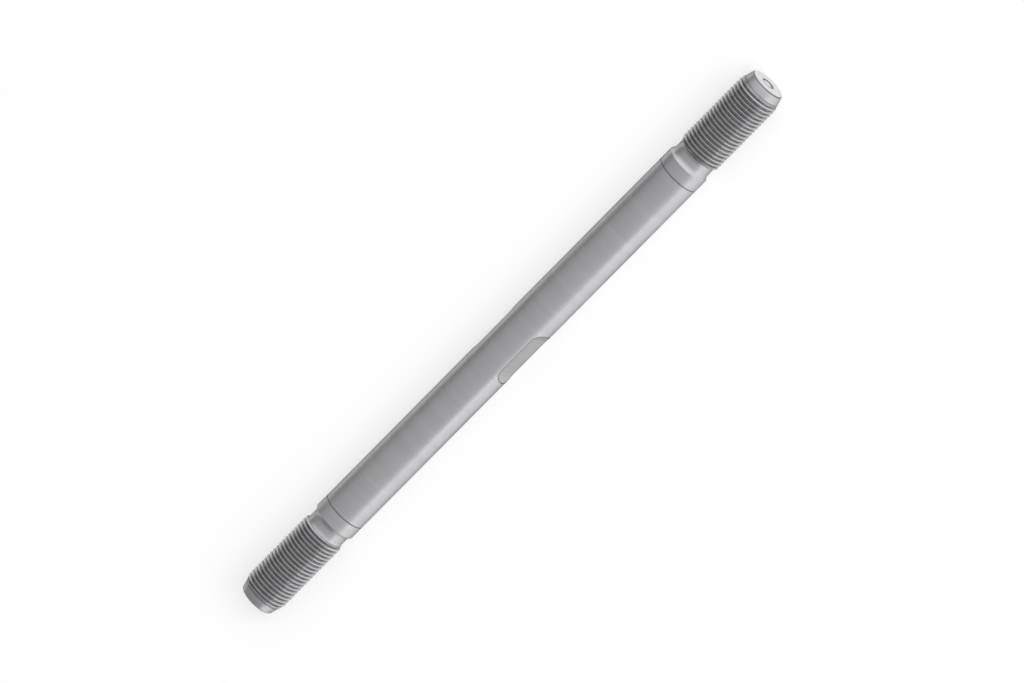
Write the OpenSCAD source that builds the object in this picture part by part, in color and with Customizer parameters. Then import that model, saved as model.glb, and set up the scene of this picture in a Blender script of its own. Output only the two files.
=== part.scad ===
// Extension rod: one bar of steel turned between centres, with a male thread at
// each end, a relief groove behind each thread and a pair of wrench flats at mid
// length. The rod lies along X with its middle at the origin.

/* [Body] */
// Diameter of the plain body
body_d = 16; // [15:0.5:24]
// Length of the body between its two shoulders
body_len = 175; // [90:1:400]

/* [Turned lines] */
// Distance from each shoulder to the fine line turned round the body
line_inset = 5.1; // [2:0.1:15]
// Width of that line at the surface
line_w = 0.3; // [0.2:0.05:0.8]
// Depth of that line
line_depth = 0.15; // [0.1:0.05:0.4]

/* [Threaded ends] */
// Nominal thread diameter, over the crests
thread_d = 16; // [15:0.5:24]
// Thread pitch, which sets the root diameter
thread_pitch = 1.5; // [1:0.25:2]
// Length of full thread, from the run-out to the lead-in
thread_len = 28.1; // [10:0.1:60]
// Length of the lead-in, where the crests fall to the thread's root
lead_in_len = 2.2; // [1:0.1:4]
// Length of the plain cone in front of the lead-in
tip_cone_len = 2.6; // [1:0.1:6]
// Slope of that cone against the axis, in degrees
tip_cone_angle = 15; // [5:1:30]
// Width of the small bevel round the end face
tip_bevel = 0.4; // [0.1:0.05:0.8]

/* [Relief grooves] */
// Diameter at the bottom of the groove
relief_d = 14.35; // [11:0.05:14.6]
// Length of the straight bottom of the groove
relief_len = 3; // [1:0.1:8]
// Radius of the fillet from the groove's bottom up to the shoulder
relief_fillet_r = 2.5; // [0.8:0.05:3]

/* [Centre holes] */
// Diameter of the centre hole's 60 degree seat at the end face
centre_seat_d = 4.25; // [3:0.05:6]
// Diameter of the pilot drilled below the seat
centre_pilot_d = 2; // [1:0.1:2.8]
// Depth of the pilot's straight wall, from the end face
centre_depth = 4.6; // [4:0.1:8]

/* [Wrench flats] */
// Distance across the two flats
across_flats = 13; // [10:0.5:14]
// Length of each flat, without its round run-outs
flat_len = 15; // [8:0.5:40]
// Radius of the milling cutter that leaves the run-outs
flat_cutter_r = 6; // [4:0.5:12]

/* [Hidden] */
$fn = 96;

body_r = body_d / 2;
thread_r = thread_d / 2;
relief_r = relief_d / 2;
// Basic minor diameter of a metric thread: 0.5413 of the pitch below the crest
root_depth_per_pitch = 0.5413;
root_r = thread_r - root_depth_per_pitch * thread_pitch;

// Stations along the axis, measured from the middle of the rod
shoulder_x = body_len / 2;
shoulder_h = body_r - relief_r;
fillet_run = shoulder_h < relief_fillet_r
    ? sqrt(shoulder_h * (2 * relief_fillet_r - shoulder_h))
    : relief_fillet_r;
groove_x = shoulder_x + fillet_run;
run_out_x = groove_x + relief_len;
// The run-out rises to the crests at 45 degrees
thread_x = run_out_x + thread_r - relief_r;
lead_in_x = thread_x + thread_len;
tip_cone_x = lead_in_x + lead_in_len;
bevel_x = tip_cone_x + tip_cone_len;
face_x = bevel_x + tip_bevel;
bevel_r = root_r - tip_cone_len * tan(tip_cone_angle);
face_r = bevel_r - tip_bevel;

// Centre hole, measured inwards from the end face
centre_seat_angle = 30;
centre_seat_depth = (centre_seat_d - centre_pilot_d) / 2 / tan(centre_seat_angle);
drill_point_angle = 59;
drill_point_len = centre_pilot_d / 2 / tan(drill_point_angle);

// How far a cutting shape runs past the surface that it cuts
past = 1;

// Half of the turned outline, from the middle of the rod to one end face:
// x runs along the axis and y is the radius.
module half_outline() {
    difference() {
        polygon([
            [0, 0],
            [0, body_r],
            [shoulder_x, body_r],
            [groove_x, body_r],
            [groove_x, relief_r],
            [run_out_x, relief_r],
            [thread_x, thread_r],
            [lead_in_x, thread_r],
            [tip_cone_x, root_r],
            [bevel_x, bevel_r],
            [face_x, face_r],
            [face_x, 0]
        ]);
        shoulder_fillet();
    }
}

// The fillet's circle, and the open space above its middle where the shoulder
// is taller than the radius
module shoulder_fillet() {
    fillet_y = relief_r + relief_fillet_r;
    translate([groove_x, fillet_y])
        circle(r = relief_fillet_r);
    translate([shoulder_x, fillet_y])
        square([fillet_run, body_r]);
}

// A solid of revolution about X from an outline drawn in x and radius
module turned() {
    rotate([0, 90, 0])
        rotate_extrude()
            rotate(-90)
                mirror([1, 0])
                    children();
}

// One end of the rod, with what is cut into it
module rod_half() {
    difference() {
        turned() half_outline();
        turned_line();
        centre_hole();
    }
}

// The fine V-shaped line round the body, behind the shoulder
module turned_line() {
    line_x = shoulder_x - line_inset;
    widening = line_w / 2 / line_depth;
    top_w = line_w / 2 + past * widening;
    turned()
        polygon([
            [line_x, body_r - line_depth],
            [line_x + top_w, body_r + past],
            [line_x - top_w, body_r + past]
        ]);
}

// Centre hole in an end face: a 60 degree seat, a pilot and its drill point
module centre_hole() {
    seat_r = centre_seat_d / 2;
    pilot_r = centre_pilot_d / 2;
    turned()
        polygon([
            [face_x + past, 0],
            [face_x + past, seat_r + past * tan(centre_seat_angle)],
            [face_x - centre_seat_depth, pilot_r],
            [face_x - centre_depth, pilot_r],
            [face_x - centre_depth - drill_point_len, 0]
        ]);
}

// Path of the milling cutter over one flat, through the whole width of the rod
module flat_cut() {
    cut_y = across_flats / 2;
    cut_w = body_d + 2 * past;
    translate([0, 0, -cut_w / 2])
        linear_extrude(cut_w) {
            translate([-flat_len / 2, cut_y])
                square([flat_len, 2 * flat_cutter_r]);
            for (end = [-1, 1])
                translate([end * flat_len / 2, cut_y + flat_cutter_r])
                    circle(r = flat_cutter_r);
        }
}

module extension_rod() {
    color("silver")
        difference() {
            union() {
                rod_half();
                mirror([1, 0, 0]) rod_half();
            }
            flat_cut();
            mirror([0, 1, 0]) flat_cut();
        }
}

extension_rod();
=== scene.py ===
"""An extension rod of turned steel: a round body with a male thread at each end and
a pair of wrench flats, lying on a pale floor. Lengths are in millimetres until a
point is placed, and the rod lies along X with its middle at the origin."""

import math
from types import SimpleNamespace

import bmesh
import bpy
from mathutils import Matrix, Vector


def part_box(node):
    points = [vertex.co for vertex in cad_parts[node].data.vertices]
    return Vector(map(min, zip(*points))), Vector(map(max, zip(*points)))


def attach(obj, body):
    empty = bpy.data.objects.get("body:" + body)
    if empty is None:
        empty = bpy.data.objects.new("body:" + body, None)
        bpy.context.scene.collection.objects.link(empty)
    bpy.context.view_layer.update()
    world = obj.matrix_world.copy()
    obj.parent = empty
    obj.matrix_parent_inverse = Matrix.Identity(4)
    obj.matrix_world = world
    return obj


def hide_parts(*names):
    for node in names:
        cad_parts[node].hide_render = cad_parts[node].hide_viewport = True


MM = 0.001

# Turned body
BODY_R = 8.0
SHOULDER_X = 87.5
EDGE_BREAK = 0.1
LINE_X = 82.4
LINE_W = 0.3
LINE_DEPTH = 0.15

# Relief groove and its fillet
GROOVE_R = 7.175
FILLET_R = 2.5
FILLET_RUN = math.sqrt(FILLET_R**2 - (FILLET_R - BODY_R + GROOVE_R) ** 2)
GROOVE_X = SHOULDER_X + FILLET_RUN
GROOVE_LEN = 3.0
GROOVE_END_X = GROOVE_X + GROOVE_LEN
FILLET_STEPS = 12

# Thread, lead-in and tip
PITCH = 1.5
CREST_R = 8.0
PROFILE_DEPTH = 0.5413
ROOT_FLAT_END = 0.125
CREST_FLAT_START = 0.4375
ROOT_R = CREST_R - PROFILE_DEPTH * PITCH
THREAD_LEN = 28.1
LEAD_IN_LEN = 2.2
THREAD_X = GROOVE_END_X + CREST_R - GROOVE_R
THREAD_END_X = THREAD_X + THREAD_LEN
TIP_X = THREAD_END_X + LEAD_IN_LEN
TIP_CONE_LEN = 2.6
TIP_CONE_ANGLE = math.radians(15)
TIP_BEVEL = 0.4
BEVEL_X = TIP_X + TIP_CONE_LEN
BEVEL_R = ROOT_R - TIP_CONE_LEN * math.tan(TIP_CONE_ANGLE)
FACE_X = BEVEL_X + TIP_BEVEL
FACE_R = BEVEL_R - TIP_BEVEL
FACE_STEPS = 4

# Centre hole
SEAT_R = 2.125
SEAT_ANGLE = math.radians(30)
PILOT_R = 1.0
PILOT_DEPTH = 4.6
POINT_ANGLE = math.radians(59)
SEAT_DEPTH = (SEAT_R - PILOT_R) / math.tan(SEAT_ANGLE)
DRILL_POINT = PILOT_R / math.tan(POINT_ANGLE)

# Wrench flats
FLAT_Y = 6.5
FLAT_HALF = 7.5
CUTTER_R = 6.0
FLAT_ANGLE = math.acos(FLAT_Y / BODY_R)
PAST_FLATS_X = 14.0

# Columns of the surface round the axis: half of a flat, and the round side between flats
HALF_FLAT_COLUMNS = 12
SIDE_COLUMNS = 24
COLUMNS = 4 * HALF_FLAT_COLUMNS + 2 * SIDE_COLUMNS

# Rows of the surface along the axis
FLAT_STEPS = 6
RUN_OUT_STEPS = 12
PAST_FLAT_STEPS = 5
BODY_STEPS = 16
ROWS_PER_PITCH = 16

# Angle within which a column lies on a flat's edge, and gaps that are closed, in metres
ON_EDGE = 1e-6
WOUND_GAP = 2e-6
SEAM_GAP = 3e-6
NO_LENGTH = 1e-7
SHARP_ANGLE = math.radians(28)

# Places of the finishes in the mesh
TURNED, THREADED, MILLED, FACED = range(4)

# Viewing direction and scale of the photograph
SIN_TILT = 0.2874
ROLL = math.radians(45.2585)
FLAT_SIDE = math.radians(23.0)
PICTURE_WIDTH = 1024
PX_PER_MM = 3.0
AIM_RIGHT = 0.277
AIM_UP = 0.54
SENSOR = 36.0
LENS = 800.0

# Sky over the far end, behind the rod, and towards the near end and the visible flat
BRIGHT_SIDE = (0.9896, -0.1438, 0.0)
LEAN_DARK = -0.592
SKY_DARK = (0.30, 0.30, 0.304, 1)
SKY_BACK = (0.18, 0.18, 0.182, 1)
SKY_BRIGHT = (1.22, 1.22, 1.23, 1)
BACK_FROM = 0.70
BACK_FULL = 0.98
SEEN_WHITE = (0.95, 0.95, 0.95, 1)

# Lamps, in metres and watts, and the floor
KEY_PLACE = (1.2, -1.5, 1.9)
KEY_SIZE = (2.0, 2.0)
KEY_WATTS = 52.0
STRIP_PLACE = (-0.3, -1.0, 0.02)
STRIP_SIZE = (1.4, 0.06)
STRIP_WATTS = 0.6
FLOOR_SHADE = (0.96, 0.96, 0.96, 1)
FLOOR_WHITE = 0.60
FLOOR_REACH = 12.0

# Greys of the steel
TURNED_DARK = (0.58, 0.583, 0.59, 1)
TURNED_LIGHT = (0.66, 0.663, 0.67, 1)
# Painted shade in the fine line
LINE_SHADE_GREY = (0.07, 0.07, 0.072, 1)
# Painted shade in the thread roots
ROOT_SHADE_GREY = (0.26, 0.26, 0.265, 1)
FLANK_GREY = (0.57, 0.573, 0.58, 1)
# Painted highlight on the thread crests
CREST_HIGHLIGHT_GREY = (0.78, 0.783, 0.79, 1)
MILLED_DARK = (0.53, 0.532, 0.537, 1)
MILLED_LIGHT = (0.63, 0.632, 0.637, 1)
# Painted shade along the flats' edges
EDGE_SHADE_GREY = (0.12, 0.12, 0.122, 1)
FACED_DARK = (0.64, 0.643, 0.65, 1)
FACED_LIGHT = (0.78, 0.783, 0.79, 1)
# Painted shade in and round the centre hole and on the bevel
PAINTED_SHADE_GREY = (0.08, 0.08, 0.082, 1)

# Height of the tool marks, and how far the painted shade reaches from an edge
MARK_HEIGHT = 0.02
EDGE_SHADE_FROM = BODY_R - 0.26
EDGE_SHADE_FULL = BODY_R - 0.10
EDGE_SHADE_FRAY = 0.08
MOUTH_R = SEAT_R + 0.1
MOUTH_FULL = 0.17
MOUTH_END = 0.28
PILOT_SHADE_END = PILOT_R + 0.2
BEVEL_SHADE_FROM = FACE_R - 0.02
BEVEL_SHADE_FULL = FACE_R + 0.04
LINE_DARK_FULL = 0.10
LINE_DARK_END = 0.17


# Helpers for node trees


def add(tree, kind, **settings):
    """A new node with its properties set."""
    node = tree.nodes.new(kind)
    for name, value in settings.items():
        setattr(node, name, value)
    return node


def feed(tree, node, key, source):
    """Link a socket to an input, or set the input's own value."""
    if isinstance(source, bpy.types.NodeSocket):
        tree.links.new(source, node.inputs[key])
    else:
        node.inputs[key].default_value = source


def calc(tree, operation, *values):
    """A Math node and its result."""
    node = add(tree, "ShaderNodeMath", operation=operation)
    for i, value in enumerate(values):
        feed(tree, node, i, value)
    return node.outputs[0]


def span(tree, value, low, high, to_low=0.0, to_high=1.0):
    """Map Range, clamped at both ends."""
    node = add(tree, "ShaderNodeMapRange")
    for key, source in enumerate((value, low, high, to_low, to_high)):
        feed(tree, node, key, source)
    return node.outputs[0]


# The threads


def thread_tree():
    """Both threads: a grid wound on a helix, with the metric profile held under the
    run-in cone, the crests and the lead-in, and turned round for the other end."""
    tree = bpy.data.node_groups.new("Cut thread", "GeometryNodeTree")
    face = tree.interface
    lengths = (
        "Pitch",
        "Crest radius",
        "Root radius",
        "Groove radius",
        "Groove end",
        "Thread end",
        "Lead-in end",
    )
    for name in lengths:
        face.new_socket(name, in_out="INPUT", socket_type="NodeSocketFloat")
    for name in ("Columns", "Rows per pitch"):
        face.new_socket(name, in_out="INPUT", socket_type="NodeSocketInt")
    face.new_socket("Steel", in_out="INPUT", socket_type="NodeSocketMaterial")
    face.new_socket("Threads", in_out="OUTPUT", socket_type="NodeSocketGeometry")

    size = add(tree, "NodeGroupInput").outputs
    pitch = size["Pitch"]
    start = size["Groove end"]
    end = size["Lead-in end"]

    # Rows run one pitch past the zone, so that the helix closes on itself
    zone = calc(tree, "SUBTRACT", end, start)
    turns = calc(tree, "ADD", calc(tree, "DIVIDE", zone, pitch), 1.0)
    steps = calc(tree, "CEIL", calc(tree, "MULTIPLY", turns, size["Rows per pitch"]))
    grid = add(tree, "GeometryNodeMeshGrid")
    feed(tree, grid, "Size X", 1.0)
    feed(tree, grid, "Size Y", 1.0)
    feed(tree, grid, "Vertices X", calc(tree, "ADD", size["Columns"], 1.0))
    feed(tree, grid, "Vertices Y", calc(tree, "ADD", steps, 1.0))
    place = add(tree, "ShaderNodeSeparateXYZ")
    feed(tree, place, 0, add(tree, "GeometryNodeInputPosition").outputs[0])
    turn = calc(tree, "ADD", place.outputs["X"], 0.5)
    row = calc(tree, "MULTIPLY", calc(tree, "ADD", place.outputs["Y"], 0.5), steps)

    # Station along the axis, on the helix and inside the threaded zone
    along = calc(tree, "DIVIDE", row, size["Rows per pitch"])
    along = calc(tree, "ADD", calc(tree, "SUBTRACT", along, 1.0), turn)
    station = calc(tree, "MULTIPLY_ADD", along, pitch, start)
    station = calc(tree, "MINIMUM", calc(tree, "MAXIMUM", station, start), end)

    # Profile over one pitch: root flat a quarter wide, crest flat an eighth wide
    into = calc(tree, "SUBTRACT", station, start)
    pitches = calc(tree, "DIVIDE", into, pitch)
    phase = calc(tree, "FRACT", calc(tree, "SUBTRACT", pitches, turn))
    from_root = calc(tree, "ABSOLUTE", calc(tree, "SUBTRACT", phase, 0.5))
    root = size["Root radius"]
    crest = size["Crest radius"]
    profile = span(tree, from_root, ROOT_FLAT_END, CREST_FLAT_START, root, crest)
    run_in = calc(tree, "ADD", size["Groove radius"], into)
    depth = calc(tree, "SUBTRACT", crest, root)
    left = calc(tree, "SUBTRACT", end, station)
    lead = calc(tree, "DIVIDE", left, calc(tree, "SUBTRACT", end, size["Thread end"]))
    lead_in = calc(tree, "MULTIPLY_ADD", lead, depth, root)
    radius = calc(tree, "MINIMUM", profile, calc(tree, "MINIMUM", run_in, lead_in))

    angle = calc(tree, "MULTIPLY", turn, math.tau)
    point = add(tree, "ShaderNodeCombineXYZ")
    feed(tree, point, "X", station)
    feed(tree, point, "Y", calc(tree, "MULTIPLY", radius, calc(tree, "COSINE", angle)))
    feed(tree, point, "Z", calc(tree, "MULTIPLY", radius, calc(tree, "SINE", angle)))
    wound = add(tree, "GeometryNodeSetPosition")
    feed(tree, wound, "Geometry", grid.outputs["Mesh"])
    feed(tree, wound, "Position", point.outputs[0])
    closed = add(tree, "GeometryNodeMergeByDistance")
    feed(tree, closed, "Geometry", wound.outputs[0])
    feed(tree, closed, "Distance", WOUND_GAP)

    one_end = add(tree, "GeometryNodeGeometryToInstance")
    feed(tree, one_end, 0, closed.outputs[0])
    other_end = add(tree, "GeometryNodeTransform")
    feed(tree, other_end, "Geometry", one_end.outputs[0])
    feed(tree, other_end, "Rotation", (0.0, 0.0, math.pi))
    both = add(tree, "GeometryNodeJoinGeometry")
    feed(tree, both, 0, one_end.outputs[0])
    feed(tree, both, 0, other_end.outputs[0])
    real = add(tree, "GeometryNodeRealizeInstances")
    feed(tree, real, 0, both.outputs[0])
    dressed = add(tree, "GeometryNodeSetMaterial")
    feed(tree, dressed, "Geometry", real.outputs[0])
    feed(tree, dressed, "Material", size["Steel"])
    out = add(tree, "NodeGroupOutput")
    feed(tree, out, 0, dressed.outputs[0])
    return tree


def thread_mesh(finish):
    """The evaluated tree as a plain mesh, with its crest and root edges sharp."""
    tree = thread_tree()
    values = {
        "Pitch": PITCH * MM,
        "Crest radius": CREST_R * MM,
        "Root radius": ROOT_R * MM,
        "Groove radius": GROOVE_R * MM,
        "Groove end": GROOVE_END_X * MM,
        "Thread end": THREAD_END_X * MM,
        "Lead-in end": TIP_X * MM,
        "Columns": COLUMNS,
        "Rows per pitch": ROWS_PER_PITCH,
        "Steel": finish,
    }
    blank = bpy.data.objects.new("thread_blank", bpy.data.meshes.new("thread_blank"))
    bpy.context.scene.collection.objects.link(blank)
    cut = blank.modifiers.new("Cut thread", "NODES")
    cut.node_group = tree
    for item in tree.interface.items_tree:
        if item.in_out == "INPUT":
            cut[item.identifier] = values[item.name]
    seen = blank.evaluated_get(bpy.context.evaluated_depsgraph_get())
    mesh = bpy.data.meshes.new_from_object(seen)
    blank.modifiers.remove(cut)
    bpy.data.objects.remove(blank)
    for polygon in mesh.polygons:
        polygon.use_smooth = True
    mesh.set_sharp_from_angle(angle=SHARP_ANGLE)
    return mesh


# The turned and milled surfaces


def run_out_x(angle):
    """Where a flat's run-out meets the body, at an angle from the flat's middle."""
    rise = FLAT_Y + CUTTER_R - BODY_R * math.cos(angle)
    return FLAT_HALF + math.sqrt(max(CUTTER_R**2 - rise**2, 0.0))


def half_flat_angles():
    """Column angles over half a flat, evenly spaced along the run-out's edge."""
    parts = 400
    fine = [FLAT_ANGLE * i / parts for i in range(parts + 1)]
    edge = [(run_out_x(a), BODY_R * a) for a in fine]
    length = [0.0]
    for p, q in zip(edge, edge[1:]):
        length.append(length[-1] + math.dist(p, q))
    angles = []
    for k in range(HALF_FLAT_COLUMNS):
        goal = length[-1] * k / HALF_FLAT_COLUMNS
        angles.append(next(a for a, run in zip(fine, length) if run >= goal))
    return angles + [FLAT_ANGLE]


def column_angles():
    """Angles of all columns, with one along each edge of each flat."""
    half = half_flat_angles()
    side = (math.pi - 2 * FLAT_ANGLE) / SIDE_COLUMNS
    quarter = half + [FLAT_ANGLE + side * i for i in range(1, SIDE_COLUMNS)]
    upper = quarter + [math.pi - a for a in reversed(half)]
    return upper[:-1] + [a + math.pi for a in upper[:-1]]


def from_flat(angle):
    """Angle of a column from the middle of the nearer flat."""
    return abs(math.remainder(angle, math.pi))


def flat_rows(angles):
    """Rows of points for x from the middle of a flat to plain round body: the flat,
    its run-out and the body round it. A row is one point for each column."""
    rows = []
    for k in range(FLAT_STEPS + 1):
        rows.append([(FLAT_HALF * k / FLAT_STEPS, None, a) for a in angles])
    for k in range(1, RUN_OUT_STEPS + 1):
        row = []
        for a in angles:
            off = from_flat(a)
            if off < FLAT_ANGLE - ON_EDGE:
                full_swing = math.asin((run_out_x(off) - FLAT_HALF) / CUTTER_R)
                swing = full_swing * k / RUN_OUT_STEPS
                row.append((FLAT_HALF + CUTTER_R * math.sin(swing), swing, a))
            else:
                row.append((FLAT_HALF, None, a))
        rows.append(row)
    for k in range(1, PAST_FLAT_STEPS + 1):
        row = []
        for a in angles:
            off = from_flat(a)
            near = run_out_x(off) if off < FLAT_ANGLE - ON_EDGE else FLAT_HALF
            row.append((near + (PAST_FLATS_X - near) * k / PAST_FLAT_STEPS, "body", a))
        rows.append(row)
    return rows, FLAT_STEPS + RUN_OUT_STEPS


def flat_point(x, swing, angle):
    """A point of the flat's rows. On the flat and its run-out, its height is the cutter's."""
    y = BODY_R * math.cos(angle)
    z = BODY_R * math.sin(angle)
    if swing != "body" and from_flat(angle) < FLAT_ANGLE - ON_EDGE:
        height = FLAT_Y if swing is None else FLAT_Y + CUTTER_R * (1 - math.cos(swing))
        y = math.copysign(height, y)
    return Vector((x, y, z)) * MM


def end_outline():
    """Stations of the turned outline from the plain body to the groove's end, and from
    the thread's end to the axis, as (x, radius, sharp edge)."""
    body = [(LINE_X - LINE_W / 2, BODY_R, True), (LINE_X, BODY_R - LINE_DEPTH, True)]
    body.append((LINE_X + LINE_W / 2, BODY_R, True))
    body.append((SHOULDER_X - EDGE_BREAK, BODY_R, True))
    lean = math.asin(FILLET_RUN / FILLET_R)
    for k in range(FILLET_STEPS + 1):
        a = lean * (1 - k / FILLET_STEPS)
        x = GROOVE_X - FILLET_R * math.sin(a)
        r = GROOVE_R + FILLET_R * (1 - math.cos(a))
        if r < BODY_R - EDGE_BREAK / 2:
            body.append((x, r, len(body) == 4))
    body += [(GROOVE_X + GROOVE_LEN / 2, GROOVE_R, False), (GROOVE_END_X, GROOVE_R, True)]

    tip = [(TIP_X, ROOT_R, True), (BEVEL_X, BEVEL_R, True), (FACE_X, FACE_R, True)]
    for k in range(1, FACE_STEPS):
        tip.append((FACE_X, FACE_R + (SEAT_R - FACE_R) * k / FACE_STEPS, False))
    tip += [(FACE_X, SEAT_R, True), (FACE_X - SEAT_DEPTH, PILOT_R, True)]
    bottom_x = FACE_X - PILOT_DEPTH
    tip += [(bottom_x, PILOT_R, True), (bottom_x - DRILL_POINT, 0.0, True)]
    return body, tip


def ring(bm, x, r, angles):
    """Points round the axis."""
    return [bm.verts.new(Vector((x, r * math.cos(a), r * math.sin(a))) * MM) for a in angles]


def skin(bm, near, far, slots):
    """Faces between two rings of points, each with its column's material."""
    count = len(near)
    for i in range(count):
        j = (i + 1) % count
        face = bm.faces.new((near[i], near[j], far[j], far[i]))
        face.smooth = True
        face.material_index = slots[i]


def crease(bm, points):
    """Mark the edges round a ring as sharp."""
    for p, q in zip(points, points[1:] + points[:1]):
        edge = bm.edges.get((p, q))
        if edge:
            edge.smooth = False


def half_rod(bm):
    """All surfaces for x over 0 apart from the thread."""
    angles = column_angles()
    even = [math.tau * i / COLUMNS for i in range(COLUMNS)]
    plain = [TURNED] * COLUMNS
    on_flat = []
    for i, a in enumerate(angles):
        b = angles[(i + 1) % COLUMNS]
        middle = (a + (b if b > a else b + math.tau)) / 2
        on_flat.append(MILLED if from_flat(middle) < FLAT_ANGLE else TURNED)

    rows, edge_row = flat_rows(angles)
    last = None
    for k, row in enumerate(rows):
        points = [bm.verts.new(flat_point(*p)) for p in row]
        if last:
            skin(bm, last, points, on_flat if k <= edge_row else plain)
            for i, a in enumerate(angles):
                if abs(from_flat(a) - FLAT_ANGLE) < ON_EDGE and k <= edge_row:
                    bm.edges.get((last[i], points[i])).smooth = False
        if k == edge_row + 1:
            for i, slot in enumerate(on_flat):
                if slot == MILLED:
                    bm.edges.get((last[i], last[(i + 1) % COLUMNS])).smooth = False
        last = points

    body, tip = end_outline()
    for k in range(1, BODY_STEPS + 1):
        x = PAST_FLATS_X + (body[0][0] - PAST_FLATS_X) * k / BODY_STEPS
        blend = [a + (e - a) * k / BODY_STEPS for a, e in zip(angles, even)]
        points = ring(bm, x, BODY_R, blend)
        skin(bm, last, points, plain)
        last = points
    crease(bm, last)
    for x, r, sharp in body[1:]:
        points = ring(bm, x, r, even)
        skin(bm, last, points, plain)
        if sharp:
            crease(bm, points)
        last = points

    across = [FACED] * COLUMNS
    last = None
    for x, r, sharp in tip:
        points = ring(bm, x, r, even)
        if last:
            skin(bm, last, points, across if r <= FACE_R else plain)
        if sharp and r > 0:
            crease(bm, points)
        last = points


def make_rod(turned, threaded, milled, faced):
    """The whole rod as one closed mesh."""
    bm = bmesh.new()
    half_rod(bm)
    half_turn = Matrix.Rotation(math.pi, 4, "Z")
    other = bm.copy()
    bmesh.ops.transform(other, matrix=half_turn, verts=other.verts)
    other_mesh = bpy.data.meshes.new("other_half")
    other.to_mesh(other_mesh)
    other.free()
    bm.from_mesh(other_mesh)
    bpy.data.meshes.remove(other_mesh)

    threads = thread_mesh(threaded)
    count = len(bm.faces)
    bm.from_mesh(threads)
    bm.faces.ensure_lookup_table()
    for face in bm.faces[count:]:
        face.material_index = THREADED
    bpy.data.meshes.remove(threads)

    bmesh.ops.remove_doubles(bm, verts=bm.verts, dist=SEAM_GAP)
    bmesh.ops.dissolve_degenerate(bm, edges=bm.edges, dist=NO_LENGTH)
    mesh = bpy.data.meshes.new("turned_rod")
    bm.to_mesh(mesh)
    bm.free()
    for material in (turned, threaded, milled, faced):
        mesh.materials.append(material)
    rod = bpy.data.objects.new("turned_rod", mesh)
    bpy.context.scene.collection.objects.link(rod)
    return rod


# Materials


def steel(name, rim):
    """A metal material that keeps the given share at its rim, its shader, and the rod's own
    coordinates: the place, along the axis, across it twice, and out from it."""
    material = bpy.data.materials.new(name)
    material.use_nodes = True
    tree = material.node_tree
    shader = tree.nodes["Principled BSDF"]
    feed(tree, shader, "Metallic", 1.0)
    feed(tree, shader, "Specular Tint", (rim, rim, rim, 1))
    place = add(tree, "ShaderNodeTexCoord").outputs["Object"]
    split = add(tree, "ShaderNodeSeparateXYZ")
    feed(tree, split, 0, place)
    x, y, z = split.outputs
    squares = calc(tree, "ADD", calc(tree, "MULTIPLY", y, y), calc(tree, "MULTIPLY", z, z))
    at = SimpleNamespace(place=place, x=x, y=y, z=z, out=calc(tree, "SQRT", squares))
    return material, tree, shader, at


def noise(tree, where, scale, detail=2.0, rough=0.5):
    """Soft random grey over the given place."""
    node = add(tree, "ShaderNodeTexNoise")
    feed(tree, node, "Vector", where)
    feed(tree, node, "Scale", scale)
    feed(tree, node, "Detail", detail)
    feed(tree, node, "Roughness", rough)
    return node.outputs["Fac"]


def stretched(tree, along, times, at):
    """A place whose first coordinate runs faster or slower, so that noise on it makes lines."""
    node = add(tree, "ShaderNodeCombineXYZ")
    for key, source in enumerate((calc(tree, "MULTIPLY", along, times), at.y, at.z)):
        feed(tree, node, key, source)
    return node.outputs[0]


def away(tree, value, middle):
    """How far a value lies from another, to either side."""
    return calc(tree, "ABSOLUTE", calc(tree, "SUBTRACT", value, middle))


def mixed(tree, amount, low, high):
    """Colour between two greys."""
    node = add(tree, "ShaderNodeMix", data_type="RGBA")
    feed(tree, node, 0, amount)
    feed(tree, node, 6, low)
    feed(tree, node, 7, high)
    return node.outputs[2]


def bumped(tree, shader, height, strength):
    """Tool marks as a fine bump."""
    node = add(tree, "ShaderNodeBump")
    feed(tree, node, "Height", height)
    feed(tree, node, "Strength", strength)
    feed(tree, node, "Distance", MARK_HEIGHT * MM)
    feed(tree, shader, "Normal", node.outputs[0])


def turned_steel():
    """Fine lathe lines round the axis, with broad soft patches, and painted shade in the fine
    line.
    """
    material, tree, shader, at = steel("Turned steel", rim=0.22)
    path = calc(tree, "ADD", at.x, at.out)
    lines = noise(tree, stretched(tree, path, 150.0, at), scale=30.0, detail=3.0, rough=0.65)
    bands = noise(tree, stretched(tree, path, 25.0, at), scale=12.0)
    patches = noise(tree, at.place, scale=45.0, detail=3.0)
    tone = calc(tree, "MULTIPLY_ADD", lines, 0.6, calc(tree, "MULTIPLY", bands, 0.4))
    shade = mixed(tree, span(tree, tone, 0.35, 0.65), TURNED_DARK, TURNED_LIGHT)
    # Painted shade: the fine line is darkened where its groove holds shade
    from_line = away(tree, calc(tree, "ABSOLUTE", at.x), LINE_X * MM)
    line_shade = span(tree, from_line, LINE_DARK_FULL * MM, LINE_DARK_END * MM, 1.0, 0.0)
    feed(tree, shader, "Base Color", mixed(tree, line_shade, shade, LINE_SHADE_GREY))

    # Long fine scratches along the rod, which only dull it
    wander = noise(tree, stretched(tree, at.x, 0.12, at), scale=500.0, detail=1.0)
    scratch = span(tree, away(tree, wander, 0.5), 0.004, 0.012, 1.0, 0.0)
    scratch = calc(tree, "MULTIPLY", scratch, span(tree, patches, 0.5, 0.62))
    dull = span(tree, patches, 0.35, 0.65, 0.32, 0.39)
    dull = calc(tree, "MULTIPLY_ADD", lines, 0.08, dull)
    feed(tree, shader, "Roughness", calc(tree, "MULTIPLY_ADD", scratch, 0.06, dull))
    bumped(tree, shader, lines, strength=0.25)
    return material


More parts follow.
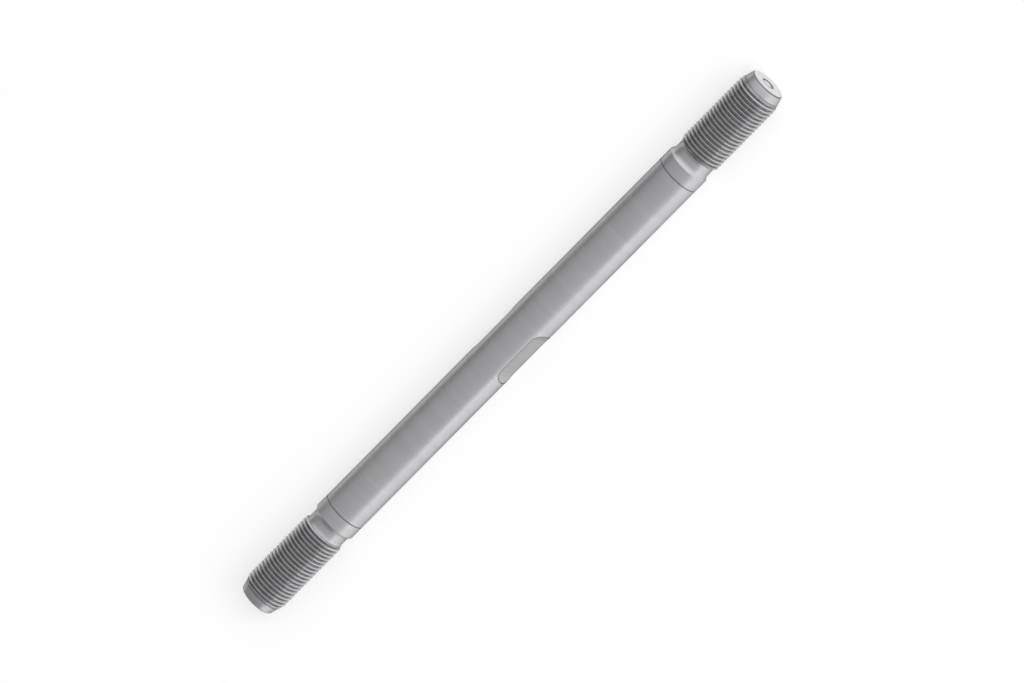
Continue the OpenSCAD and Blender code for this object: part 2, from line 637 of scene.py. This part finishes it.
def threaded_steel():
    """Cut thread: a painted highlight on the crests, flanks torn by the tool, and painted shade in
    the roots.
    """
    material, tree, shader, at = steel("Threaded steel", rim=0.55)
    height = span(tree, at.out, ROOT_R * MM, CREST_R * MM)
    shade_mask = noise(tree, at.place, scale=400.0, detail=3.0)
    tear = noise(tree, stretched(tree, at.out, 8.0, at), scale=900.0)
    # Painted shade: darker towards the thread roots, with a randomly wandering edge
    out_of_shade = calc(tree, "ADD", height, calc(tree, "MULTIPLY_ADD", shade_mask, 0.5, -0.25))
    shade = mixed(tree, span(tree, out_of_shade, 0.0, 0.5), ROOT_SHADE_GREY, FLANK_GREY)
    # Painted highlight on the crest flats
    crest_highlight = span(tree, height, 0.93, 0.97)
    feed(tree, shader, "Base Color", mixed(tree, crest_highlight, shade, CREST_HIGHLIGHT_GREY))
    feed(tree, shader, "Roughness", span(tree, tear, 0.3, 0.7, 0.30, 0.46))
    bumped(tree, shader, tear, strength=0.25)
    return material


def milled_steel():
    """Cutter marks across the flat, and painted shade along its edges."""
    material, tree, shader, at = steel("Milled steel", rim=0.35)
    marks = noise(tree, stretched(tree, at.x, 200.0, at), scale=14.0)
    patches = noise(tree, at.place, scale=120.0)
    shade = mixed(tree, span(tree, marks, 0.3, 0.7), MILLED_DARK, MILLED_LIGHT)
    # Painted shade along the flat's edges, with a frayed border
    frayed = calc(tree, "MULTIPLY_ADD", noise(tree, at.place, scale=900.0), EDGE_SHADE_FRAY * MM, at.out)
    edge_shade = span(tree, frayed, EDGE_SHADE_FROM * MM, EDGE_SHADE_FULL * MM, 0.0, 0.92)
    feed(tree, shader, "Base Color", mixed(tree, edge_shade, shade, EDGE_SHADE_GREY))
    feed(tree, shader, "Roughness", span(tree, patches, 0.3, 0.7, 0.30, 0.40))
    bumped(tree, shader, marks, strength=0.3)
    return material


def faced_steel():
    """Fine rings of the facing cut on the end faces, and painted shade round the mouth of the
    centre hole, at its bottom and on the bevel."""
    material, tree, shader, at = steel("Faced steel", rim=1.0)
    rings = noise(tree, stretched(tree, at.out, 45.0, at), scale=50.0)
    shade = mixed(tree, span(tree, rings, 0.3, 0.7), FACED_DARK, FACED_LIGHT)
    from_mouth = away(tree, at.out, MOUTH_R * MM)
    mouth = span(tree, from_mouth, MOUTH_FULL * MM, MOUTH_END * MM, 1.0, 0.0)
    pilot = span(tree, at.out, PILOT_R * MM, PILOT_SHADE_END * MM, 1.0, 0.0)
    bevel = span(tree, at.out, BEVEL_SHADE_FROM * MM, BEVEL_SHADE_FULL * MM, 0.0, 0.8)
    # Painted shade round the mouth of the centre hole, at its bottom and on the bevel
    shade_mask = calc(tree, "MAXIMUM", calc(tree, "MAXIMUM", mouth, pilot), bevel)
    feed(tree, shader, "Base Color", mixed(tree, shade_mask, shade, PAINTED_SHADE_GREY))
    feed(tree, shader, "Roughness", span(tree, rings, 0.3, 0.7, 0.32, 0.42))
    bumped(tree, shader, rings, strength=0.2)
    return material


# Stage, light and camera


def make_floor(z):
    """A white floor: its own shade with the shadow in part, and in part plain white, which
    the camera and the steel both see."""
    material = bpy.data.materials.new("Pale floor")
    material.use_nodes = True
    tree = material.node_tree
    shader = tree.nodes["Principled BSDF"]
    feed(tree, shader, "Base Color", FLOOR_SHADE)
    feed(tree, shader, "Roughness", 0.9)
    feed(tree, shader, "Specular IOR Level", 0.1)
    white = add(tree, "ShaderNodeEmission")
    path = add(tree, "ShaderNodeLightPath").outputs
    seen = calc(tree, "MAXIMUM", path["Is Camera Ray"], path["Is Glossy Ray"])
    seen = calc(tree, "MAXIMUM", seen, path["Is Transmission Ray"])
    both = add(tree, "ShaderNodeMixShader")
    feed(tree, both, 0, calc(tree, "MULTIPLY", seen, FLOOR_WHITE))
    feed(tree, both, 1, shader.outputs[0])
    feed(tree, both, 2, white.outputs[0])
    feed(tree, tree.nodes["Material Output"], "Surface", both.outputs[0])
    bm = bmesh.new()
    bmesh.ops.create_grid(bm, x_segments=1, y_segments=1, size=FLOOR_REACH)
    mesh = bpy.data.meshes.new("floor")
    bm.to_mesh(mesh)
    bm.free()
    mesh.materials.append(material)
    mesh.transform(Matrix.Translation((0, 0, z)))
    floor = bpy.data.objects.new("floor", mesh)
    bpy.context.scene.collection.objects.link(floor)


def soft_box(name, place, size, watts, in_steel):
    """A flat lamp that looks at the rod, and is reflected by it or only lights the floor."""
    data = bpy.data.lights.new(name, "AREA")
    data.shape = "RECTANGLE"
    data.size, data.size_y = size
    data.energy = watts
    lamp = bpy.data.objects.new(name, data)
    lamp.location = place
    lamp.visible_camera = False
    lamp.visible_glossy = in_steel
    lamp.rotation_euler = (-Vector(place)).to_track_quat("-Z", "Y").to_euler()
    bpy.context.scene.collection.objects.link(lamp)


def make_light():
    """A pale sky, brighter towards the near end and the visible flat and darker behind the
    rod, a low strip for the long highlight, and a key lamp for the shadow."""
    world = bpy.data.worlds.new("Studio")
    world.use_nodes = True
    tree = world.node_tree
    back = tree.nodes["Background"]
    where = add(tree, "ShaderNodeTexCoord").outputs["Generated"]
    lean = add(tree, "ShaderNodeVectorMath", operation="DOT_PRODUCT")
    feed(tree, lean, 0, where)
    feed(tree, lean, 1, BRIGHT_SIDE)
    shade = mixed(tree, span(tree, lean.outputs["Value"], LEAN_DARK, 1.0), SKY_DARK, SKY_BRIGHT)
    aside = add(tree, "ShaderNodeSeparateXYZ")
    feed(tree, aside, 0, where)
    shade = mixed(tree, span(tree, aside.outputs["Y"], BACK_FROM, BACK_FULL), shade, SKY_BACK)
    seen = add(tree, "ShaderNodeLightPath").outputs["Is Camera Ray"]
    feed(tree, back, "Color", mixed(tree, seen, shade, SEEN_WHITE))
    feed(tree, back, "Strength", 1.0)
    bpy.context.scene.world = world
    soft_box("key", KEY_PLACE, KEY_SIZE, KEY_WATTS, in_steel=False)
    soft_box("strip", STRIP_PLACE, STRIP_SIZE, STRIP_WATTS, in_steel=True)


def make_camera():
    """The photograph's view: the rod runs up to the right, with the flat at the lower right."""
    cos_tilt = math.sqrt(1 - SIN_TILT**2)
    side = Vector((0, -math.sin(FLAT_SIDE), math.cos(FLAT_SIDE)))
    axis = Vector((1, 0, 0))
    to_camera = SIN_TILT * axis + cos_tilt * side
    up_rod = (axis - SIN_TILT * to_camera) / cos_tilt
    across = Vector((0, -math.cos(FLAT_SIDE), -math.sin(FLAT_SIDE)))
    right = math.cos(ROLL) * up_rod + math.sin(ROLL) * across
    up = math.sin(ROLL) * up_rod - math.cos(ROLL) * across
    data = bpy.data.cameras.new("camera")
    data.sensor_width = SENSOR
    data.lens = LENS
    width = PICTURE_WIDTH / PX_PER_MM * MM
    distance = LENS / SENSOR * width
    data.clip_start = 0.1
    data.clip_end = 40.0
    target = (AIM_RIGHT * right + AIM_UP * up) * MM
    camera = bpy.data.objects.new("camera", data)
    turn = Matrix((right, up, to_camera)).transposed().to_4x4()
    camera.matrix_world = Matrix.Translation(target + distance * to_camera) @ turn
    bpy.context.scene.collection.objects.link(camera)
    bpy.context.scene.camera = camera


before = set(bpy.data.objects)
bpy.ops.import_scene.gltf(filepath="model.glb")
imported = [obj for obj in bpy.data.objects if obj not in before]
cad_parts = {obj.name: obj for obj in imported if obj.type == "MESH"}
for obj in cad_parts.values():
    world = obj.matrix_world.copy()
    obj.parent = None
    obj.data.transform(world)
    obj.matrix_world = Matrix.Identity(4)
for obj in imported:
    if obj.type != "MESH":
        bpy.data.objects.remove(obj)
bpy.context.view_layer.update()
bpy.context.scene.view_settings.view_transform = "Standard"
low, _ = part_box("extension_rod")

rod = make_rod(turned_steel(), threaded_steel(), milled_steel(), faced_steel())
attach(rod, "root")
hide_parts("extension_rod")

make_floor(low[2])
make_light()
make_camera()
